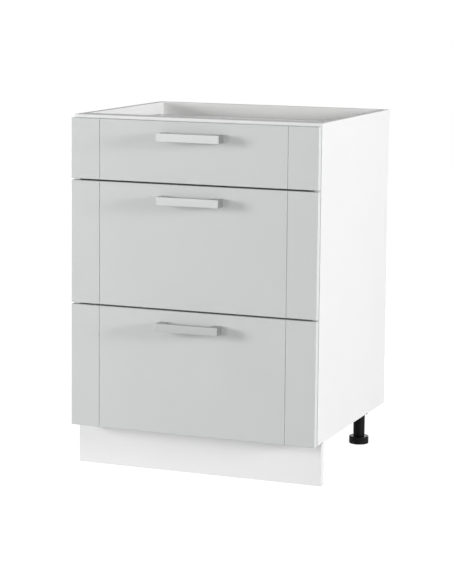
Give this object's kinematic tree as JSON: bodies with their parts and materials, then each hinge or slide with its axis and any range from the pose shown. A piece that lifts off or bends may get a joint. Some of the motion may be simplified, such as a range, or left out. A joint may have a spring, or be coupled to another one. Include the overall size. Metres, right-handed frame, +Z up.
{
  "type": "kitchen base cabinet",
  "caption": "White kitchen base cabinet with pale grey drawer fronts, flat bow handles, roller runners, a set-back plinth and adjustable legs; its top is open for a worktop.",
  "frame": {"origin": "on the floor, under the middle of the cabinet with its handles", "axes": "+X to the right seen from the front, +Y to the rear, +Z up; the drawers open along -Y"},
  "size_m": [0.6, 0.55, 0.82],
  "materials": {
    "white_board": "white melamine on chipboard, satin",
    "grey_front": "pale grey matt lacquer on MDF",
    "hardboard": "white lacquered hardboard",
    "beech": "fluted beech, raw",
    "handle_metal": "brushed lengthways, satin",
    "runner_steel": "white epoxy coated steel",
    "roller_plastic": "moulded nylon",
    "zinc_steel": "zinc plated",
    "black_plastic": "black moulded polypropylene"
  },
  "bodies": {
    "carcass": {"left_side_panel": "white_board", "right_side_panel": "white_board", "bottom_panel": "white_board", "back_panel": "hardboard", "front_rail": "white_board", "rear_rail": "white_board", "carcass_dowels": "beech", "cam_bolts": "zinc_steel", "cam_locks": "zinc_steel", "leg_sockets": "black_plastic", "leg_stems": "black_plastic", "carcass_screws": "zinc_steel", "plinth_board": "white_board", "plinth_clips": "black_plastic", "bottom_left_cabinet_runner": "runner_steel", "bottom_right_cabinet_runner": "runner_steel", "middle_left_cabinet_runner": "runner_steel", "middle_right_cabinet_runner": "runner_steel", "top_left_cabinet_runner": "runner_steel", "top_right_cabinet_runner": "runner_steel"},
    "front_left_foot": {"front_left_foot": "black_plastic"},
    "front_right_foot": {"front_right_foot": "black_plastic"},
    "rear_left_foot": {"rear_left_foot": "black_plastic"},
    "rear_right_foot": {"rear_right_foot": "black_plastic"},
    "bottom_drawer": {"bottom_drawer_front": "grey_front", "bottom_drawer_handle": "handle_metal", "bottom_drawer_screws": "zinc_steel", "bottom_drawer_left_side": "white_board", "bottom_drawer_right_side": "white_board", "bottom_drawer_back": "white_board", "bottom_drawer_bottom": "hardboard", "bottom_drawer_left_runner": "runner_steel", "bottom_drawer_right_runner": "runner_steel", "bottom_drawer_dowels": "beech"},
    "bottom_front_rollers": {"bottom_front_rollers": "roller_plastic"},
    "bottom_rear_rollers": {"bottom_rear_rollers": "roller_plastic"},
    "middle_drawer": {"middle_drawer_front": "grey_front", "middle_drawer_handle": "handle_metal", "middle_drawer_screws": "zinc_steel", "middle_drawer_left_side": "white_board", "middle_drawer_right_side": "white_board", "middle_drawer_back": "white_board", "middle_drawer_bottom": "hardboard", "middle_drawer_left_runner": "runner_steel", "middle_drawer_right_runner": "runner_steel", "middle_drawer_dowels": "beech"},
    "middle_front_rollers": {"middle_front_rollers": "roller_plastic"},
    "middle_rear_rollers": {"middle_rear_rollers": "roller_plastic"},
    "top_drawer": {"top_drawer_front": "grey_front", "top_drawer_handle": "handle_metal", "top_drawer_screws": "zinc_steel", "top_drawer_left_side": "white_board", "top_drawer_right_side": "white_board", "top_drawer_back": "white_board", "top_drawer_bottom": "hardboard", "top_drawer_left_runner": "runner_steel", "top_drawer_right_runner": "runner_steel", "top_drawer_dowels": "beech"},
    "top_front_rollers": {"top_front_rollers": "roller_plastic"},
    "top_rear_rollers": {"top_rear_rollers": "roller_plastic"}
  },
  "joints": [
    {"name": "bottom_drawer_slide", "type": "slide", "parent": "carcass", "child": "bottom_drawer", "axis": [0, -1, 0], "range_m": [0, 0.34]},
    {"name": "bottom_front_rollers_turn", "type": "hinge", "parent": "carcass", "child": "bottom_front_rollers", "pos_m": [0, -0.211, 0.1373], "axis": [1, 0, 0], "continuous": true},
    {"name": "bottom_rear_rollers_turn", "type": "hinge", "parent": "bottom_drawer", "child": "bottom_rear_rollers", "pos_m": [0, 0.212, 0.1373], "axis": [1, 0, 0], "continuous": true},
    {"name": "middle_drawer_slide", "type": "slide", "parent": "carcass", "child": "middle_drawer", "axis": [0, -1, 0], "range_m": [0, 0.34]},
    {"name": "middle_front_rollers_turn", "type": "hinge", "parent": "carcass", "child": "middle_front_rollers", "pos_m": [0, -0.211, 0.4248], "axis": [1, 0, 0], "continuous": true},
    {"name": "middle_rear_rollers_turn", "type": "hinge", "parent": "middle_drawer", "child": "middle_rear_rollers", "pos_m": [0, 0.212, 0.4248], "axis": [1, 0, 0], "continuous": true},
    {"name": "top_drawer_slide", "type": "slide", "parent": "carcass", "child": "top_drawer", "axis": [0, -1, 0], "range_m": [0, 0.34]},
    {"name": "top_front_rollers_turn", "type": "hinge", "parent": "carcass", "child": "top_front_rollers", "pos_m": [0, -0.211, 0.7123], "axis": [1, 0, 0], "continuous": true},
    {"name": "top_rear_rollers_turn", "type": "hinge", "parent": "top_drawer", "child": "top_rear_rollers", "pos_m": [0, 0.212, 0.7123], "axis": [1, 0, 0], "continuous": true},
    {"name": "front_left_foot_screw", "type": "slide", "parent": "carcass", "child": "front_left_foot", "axis": [0, 0, -1], "range_m": [0, 0.02]},
    {"name": "front_right_foot_screw", "type": "slide", "parent": "carcass", "child": "front_right_foot", "axis": [0, 0, -1], "range_m": [0, 0.02]},
    {"name": "rear_left_foot_screw", "type": "slide", "parent": "carcass", "child": "rear_left_foot", "axis": [0, 0, -1], "range_m": [0, 0.02]},
    {"name": "rear_right_foot_screw", "type": "slide", "parent": "carcass", "child": "rear_right_foot", "axis": [0, 0, -1], "range_m": [0, 0.02]}
  ],
  "couplings": [
    {"joint": "bottom_front_rollers_turn", "follows": "bottom_drawer_slide", "rad_per_m": 111.11},
    {"joint": "bottom_rear_rollers_turn", "follows": "bottom_drawer_slide", "rad_per_m": 111.11},
    {"joint": "middle_front_rollers_turn", "follows": "middle_drawer_slide", "rad_per_m": 111.11},
    {"joint": "middle_rear_rollers_turn", "follows": "middle_drawer_slide", "rad_per_m": 111.11},
    {"joint": "top_front_rollers_turn", "follows": "top_drawer_slide", "rad_per_m": 111.11},
    {"joint": "top_rear_rollers_turn", "follows": "top_drawer_slide", "rad_per_m": 111.11}
  ]
}
